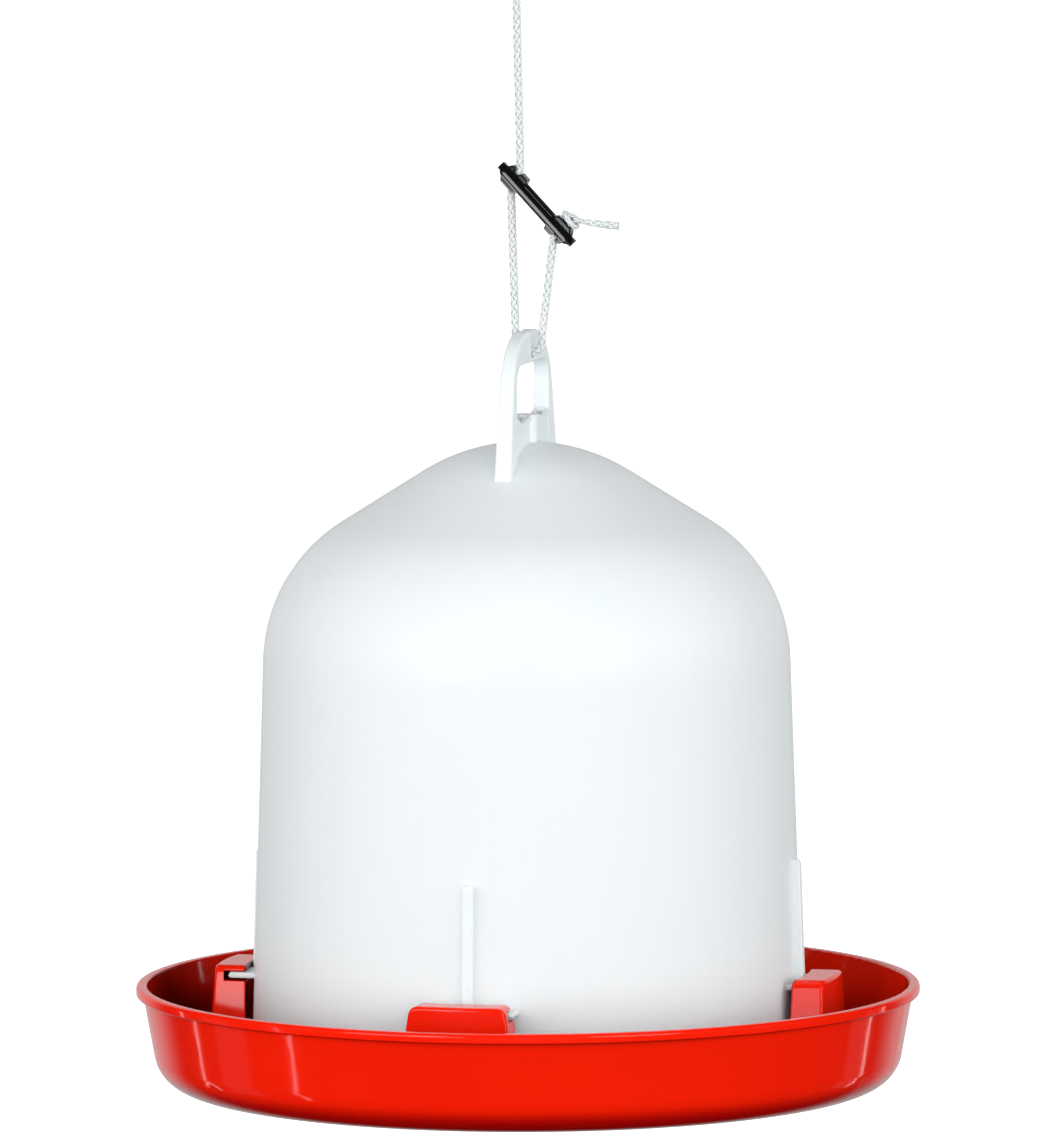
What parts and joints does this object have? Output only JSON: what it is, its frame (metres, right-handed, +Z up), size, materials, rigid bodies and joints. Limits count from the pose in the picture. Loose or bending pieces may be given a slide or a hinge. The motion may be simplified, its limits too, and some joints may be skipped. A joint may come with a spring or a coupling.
{
  "type": "hanging poultry drinker",
  "caption": "Hanging bell drinker: domed white water fount with a carrying handle, bayonet-locked in a round red drinking tray, on a braided cord with a black height adjuster.",
  "frame": {"origin": "centre of the tray's flat underside", "axes": "+Z up along the drinker's round axis; the front that faces a viewer is -Y, +X is to the viewer's right; the handle plate stands 13 degrees off the YZ plane"},
  "size_m": [0.37, 0.37, 0.54],
  "materials": {
    "reservoir_plastic": "satin bluish-white polypropylene, slightly translucent",
    "tray_plastic": "glossy orange-red polypropylene",
    "adjuster_plastic": "glossy black moulded plastic",
    "cord_braid": "white braided polyester cord"
  },
  "bodies": {
    "cord": {"cord_upper_line": "cord_braid"},
    "toggle": {"adjuster": "adjuster_plastic", "cord_knot_tail": "cord_braid", "cord_left_leg": "cord_braid", "cord_right_leg": "cord_braid"},
    "cord_loop": {"cord_eye": "cord_braid"},
    "fount": {"reservoir": "reservoir_plastic"},
    "drinking_tray": {"tray": "tray_plastic"}
  },
  "joints": [
    {"name": "adjuster_slide", "type": "slide", "parent": "cord", "child": "toggle", "axis": [0, 0, 1], "range_m": [-0.02, 0.02], "deforming": ["cord_upper_line"]},
    {"name": "loop_rise", "type": "slide", "parent": "toggle", "child": "cord_loop", "axis": [0, 0, 1], "range_m": [-0.01, 0.01], "deforming": ["cord_left_leg", "cord_right_leg"]},
    {"name": "fount_swing", "type": "hinge", "parent": "cord_loop", "child": "fount", "pos_m": [0, 0, 0.3471], "axis": [0.9744, -0.225, 0], "range_deg": [-15, 15]},
    {"name": "tray_twist", "type": "hinge", "parent": "fount", "child": "drinking_tray", "pos_m": [0, 0, 0], "axis": [0, 0, 1], "range_deg": [-18, 0]}
  ],
  "couplings": [
    {"joint": "loop_rise", "follows": "adjuster_slide", "ratio": -0.5}
  ]
}
